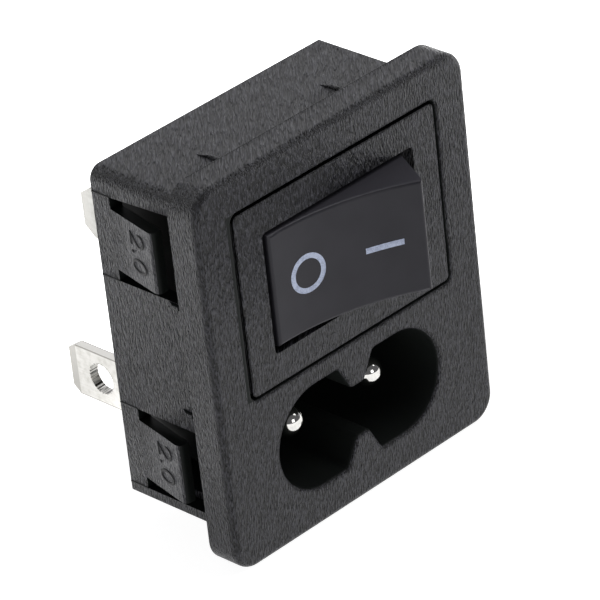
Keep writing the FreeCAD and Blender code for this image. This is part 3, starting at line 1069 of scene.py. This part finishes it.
@dataclass
class RockerButton(Assembly):
    """Rocker with its dished face and the printed O and I."""

    node: str = "rocker"
    face_half: float = 6.5 * MM
    face_end: float = -4.36 * MM
    face_dip: float = 1.05 * MM
    ring_x: float = -3.17 * MM
    ring_z: float = 0.05 * MM
    ring_outer: float = 1.58 * MM
    ring_inner: float = 1.16 * MM
    ring_steps: int = 72
    bar_start: float = 1.79 * MM
    bar_end: float = 4.76 * MM
    bar_z: float = -0.05 * MM
    bar_half: float = 0.235 * MM
    bar_steps: int = 10
    ink_stand: float = 0.02 * MM
    ink_sink: float = 0.02 * MM
    marks: list[bpy.types.Object] = field(default_factory=list)

    def build(self) -> None:
        """Print the two marks on the face."""
        ring = self.ribbon("mark_off_ring", self.ring_pairs(), True)
        bar = self.ribbon("mark_on_bar", self.bar_pairs(), False)
        self.marks = [carry(mark, Body.ROCKER) for mark in (ring, bar)]

    def dress(self) -> None:
        """Dress the button in satin plastic and its marks in ink."""
        satin = SatinPlastic(
            "satin_black_rocker",
            dark=(0.026, 0.0251, 0.031),
            light=(0.0325, 0.0315, 0.0385),
            gloss=0.2,
            # painted highlight on the rocker's upward flank
            painted_flank_highlight=(0.068, 0.066, 0.078),
        )
        coat([self.node], satin.material())
        ink = PrintedInk("pale_blue_ink", full=(0.5, 0.56, 0.72), thin=(0.34, 0.385, 0.52))
        printed = ink.material()
        for mark in self.marks:
            mark.data.materials.append(printed)

    def on_face(self, x: float, z: float, stand: float) -> Vector:
        """Place on the dished face of the level button.

        Args:
            x: Place along the button.
            z: Place across it.
            stand: Height over the face.

        Returns:
            The place.
        """
        bend_r = (self.face_half**2 + self.face_dip**2) / (2 * self.face_dip)
        lift = bend_r - math.sqrt(bend_r**2 - x**2)
        return Vector((x, self.face_end + self.face_dip - lift - stand, z))

    def ring_pairs(self) -> list[Pair]:
        """Outer and inner points round the O.

        Returns:
            The pairs of points.
        """
        pairs = []
        for step in range(self.ring_steps):
            turn = 2 * math.pi * step / self.ring_steps
            across, rise = math.cos(turn), math.sin(turn)
            outer, inner = (
                (self.ring_x + radius * across, self.ring_z + radius * rise)
                for radius in (self.ring_outer, self.ring_inner)
            )
            pairs.append((outer, inner))
        return pairs

    def bar_pairs(self) -> list[Pair]:
        """Upper and lower points along the I.

        Returns:
            The pairs of points.
        """
        pairs = []
        for step in range(self.bar_steps + 1):
            x = self.bar_start + (self.bar_end - self.bar_start) * step / self.bar_steps
            pairs.append(((x, self.bar_z + self.bar_half), (x, self.bar_z - self.bar_half)))
        return pairs

    def ribbon(self, name: str, pairs: Sequence[Pair], closed: bool) -> bpy.types.Object:
        """Thin band of ink between two lines on the face.

        Args:
            name: The piece's name.
            pairs: Points of both lines, as places along and across the button.
            closed: Whether the band ends where it starts.

        Returns:
            The new object.
        """
        mesh = bmesh.new()
        rows = []
        for first, second in pairs:
            row = [self.on_face(*first, self.ink_stand), self.on_face(*second, self.ink_stand)]
            row += [self.on_face(*second, -self.ink_sink), self.on_face(*first, -self.ink_sink)]
            rows.append([mesh.verts.new(point) for point in row])
        follow = rows[1:] + rows[:1] if closed else rows[1:]
        for row, after in zip(rows, follow):
            for corner in range(len(row)):
                beside = (corner + 1) % len(row)
                mesh.faces.new((row[corner], row[beside], after[beside], after[corner]))
        if not closed:
            mesh.faces.new(rows[0])
            mesh.faces.new(rows[-1])
        bmesh.ops.recalc_face_normals(mesh, faces=mesh.faces)
        mesh.transform(rocker_at_rest())
        data = bpy.data.meshes.new(name)
        mesh.to_mesh(data)
        mesh.free()
        return bpy.data.objects.new(name, data)


@dataclass
class Studio(Assembly):
    """Pale floor, soft white light and the camera at the photograph's angle."""

    aim: Triple = (-1.149 * MM, 1.232 * MM, 0.206 * MM)
    distance: float = 337.9 * MM
    azimuth: float = -43.044
    elevation: float = 29.499
    roll: float = -6.493
    lens: float = 275.29
    sensor: float = 36.0
    floor_half: float = 3.0
    floor_colour: Colour = (0.3, 0.3, 0.3)
    floor_roughness: float = 0.9
    floor_glow_front: Colour = (0.95, 0.95, 0.95)
    floor_glow_back: Colour = (2.1, 2.1, 2.1)
    floor_glow_way: float = -27.0
    floor_glow_span: Couple = (18 * MM, 30 * MM)
    card_place: Couple = (-15.6 * MM, 17.5 * MM)
    card_span: Couple = (8 * MM, 3.5 * MM)
    card_glow: Colour = (2.1, 2.1, 2.1)
    sky_front: Colour = (0.1, 0.1, 0.105)
    sky_back: Colour = (0.88, 0.88, 0.905)
    sky_span: Couple = (0.0, 0.9)
    key_place: Triple = (1.15, 0.4, 0.75)
    key_size: float = 0.7
    key_power: float = 2.2
    fill_place: Triple = (0.5, -0.3, 0.85)
    fill_size: float = 0.7
    fill_power: float = 3.4
    spark_place: Triple = (-0.07, -1.0, 0.27)
    spark_size: float = 0.35
    spark_power: float = 0.8
    floor: bpy.types.Object = field(init=False)

    def build(self) -> None:
        """Set up the floor, the lights and the camera."""
        self.floor = self.lay_floor()
        self.hang_lights()
        self.set_sky()
        self.stand_camera()
        bpy.context.scene.view_settings.view_transform = "Standard"

    def dress(self) -> None:
        """Give the floor a matt white that glows, most behind the object and in one small patch."""
        tree = FinishTree("pale_floor")
        place = tree.place()
        depth = self.along(tree, place, self.floor_glow_way).ramp(*self.floor_glow_span)
        across, along = (tree.axis(place, name) - at for name, at in zip("XY", self.card_place))
        card = tree.math("SQRT", across * across + along * along).ramp(*self.card_span)
        glow = tree.blend(depth, self.floor_glow_front, self.floor_glow_back)
        surface = tree.shader({
            "Base Color": self.floor_colour,
            "Roughness": self.floor_roughness,
            "Emission Color": tree.blend(card, glow, self.card_glow),
            "Emission Strength": 1.0,
        })
        self.floor.data.materials.append(tree.finish(surface))

    @staticmethod
    def along(tree: ShaderTree, vector: Value, azimuth: float) -> Value:
        """Level part of a vector on a line of sight.

        Args:
            tree: The tree that it is worked out in.
            vector: The place or direction.
            azimuth: The line of sight's azimuth, in degrees.

        Returns:
            How far it points away from the one who looks.
        """
        turn = math.radians(azimuth)
        return tree.axis(vector, "X") * -math.sin(turn) + tree.axis(vector, "Y") * math.cos(turn)

    def lay_floor(self) -> bpy.types.Object:
        """Wide floor under the lowest point of the object.

        Returns:
            The floor.
        """
        reach, level = self.floor_half, CAD_BOX[0].z
        around = ((-reach, -reach), (reach, -reach), (reach, reach), (-reach, reach))
        corners = [(x, y, level) for x, y in around]
        data = bpy.data.meshes.new("pale_floor")
        data.from_pydata(corners, [], [(0, 1, 2, 3)])
        floor = bpy.data.objects.new("pale_floor", data)
        bpy.context.scene.collection.objects.link(floor)
        return floor

    def hang_lights(self) -> None:
        """Large soft light behind the upper right, a fill on the edges and a spark for the pins."""
        for name, place, size, power in (
            ("soft_key", self.key_place, self.key_size, self.key_power),
            ("edge_fill", self.fill_place, self.fill_size, self.fill_power),
            ("pin_spark", self.spark_place, self.spark_size, self.spark_power),
        ):
            lamp = bpy.data.lights.new(name, "AREA")
            lamp.size = size
            lamp.energy = power
            holder = bpy.data.objects.new(name, lamp)
            holder.location = place
            holder.rotation_euler = (-Vector(place)).to_track_quat("-Z", "Y").to_euler()
            bpy.context.scene.collection.objects.link(holder)

    def set_sky(self) -> None:
        """White light from all round, stronger behind the object than behind the camera."""
        world = bpy.data.worlds.new("white_tent")
        world.use_nodes = True
        tree = ShaderTree(world.node_tree)
        way = tree.node("ShaderNodeTexCoord", {}, {}, "Generated")
        behind = self.along(tree, way, self.azimuth).ramp(*self.sky_span)
        sky = tree.nodes["Background"].inputs["Color"]
        tree.feed(sky, tree.blend(behind, self.sky_front, self.sky_back))
        bpy.context.scene.world = world

    def stand_camera(self) -> None:
        """Camera on the photograph's line of sight."""
        data = bpy.data.cameras.new("camera")
        data.lens = self.lens
        data.sensor_width = self.sensor
        turn, tilt = math.radians(self.azimuth), math.radians(self.elevation)
        level = math.cos(tilt)
        back = Vector((math.sin(turn) * level, -math.cos(turn) * level, math.sin(tilt)))
        facing = (-back).to_track_quat("-Z", "Y").to_matrix().to_4x4()
        camera = bpy.data.objects.new("camera", data)
        camera.matrix_world = (
            Matrix.Translation(Vector(self.aim) + back * self.distance)
            @ facing
            @ Matrix.Rotation(math.radians(self.roll), 4, "Z")
        )
        bpy.context.scene.collection.objects.link(camera)
        bpy.context.scene.camera = camera


def main() -> None:
    """Make and dress every sub-assembly in turn."""
    logging.basicConfig(level=logging.INFO, format="%(name)s: %(message)s")
    for assembly in (InletHousing(), PinsAndTerminals(), SwitchWorks(), RockerButton(), Studio()):
        assembly.build()
        assembly.dress()
        LOG.info("finished %s", type(assembly).__name__)


if __name__ == "__main__":
    main()
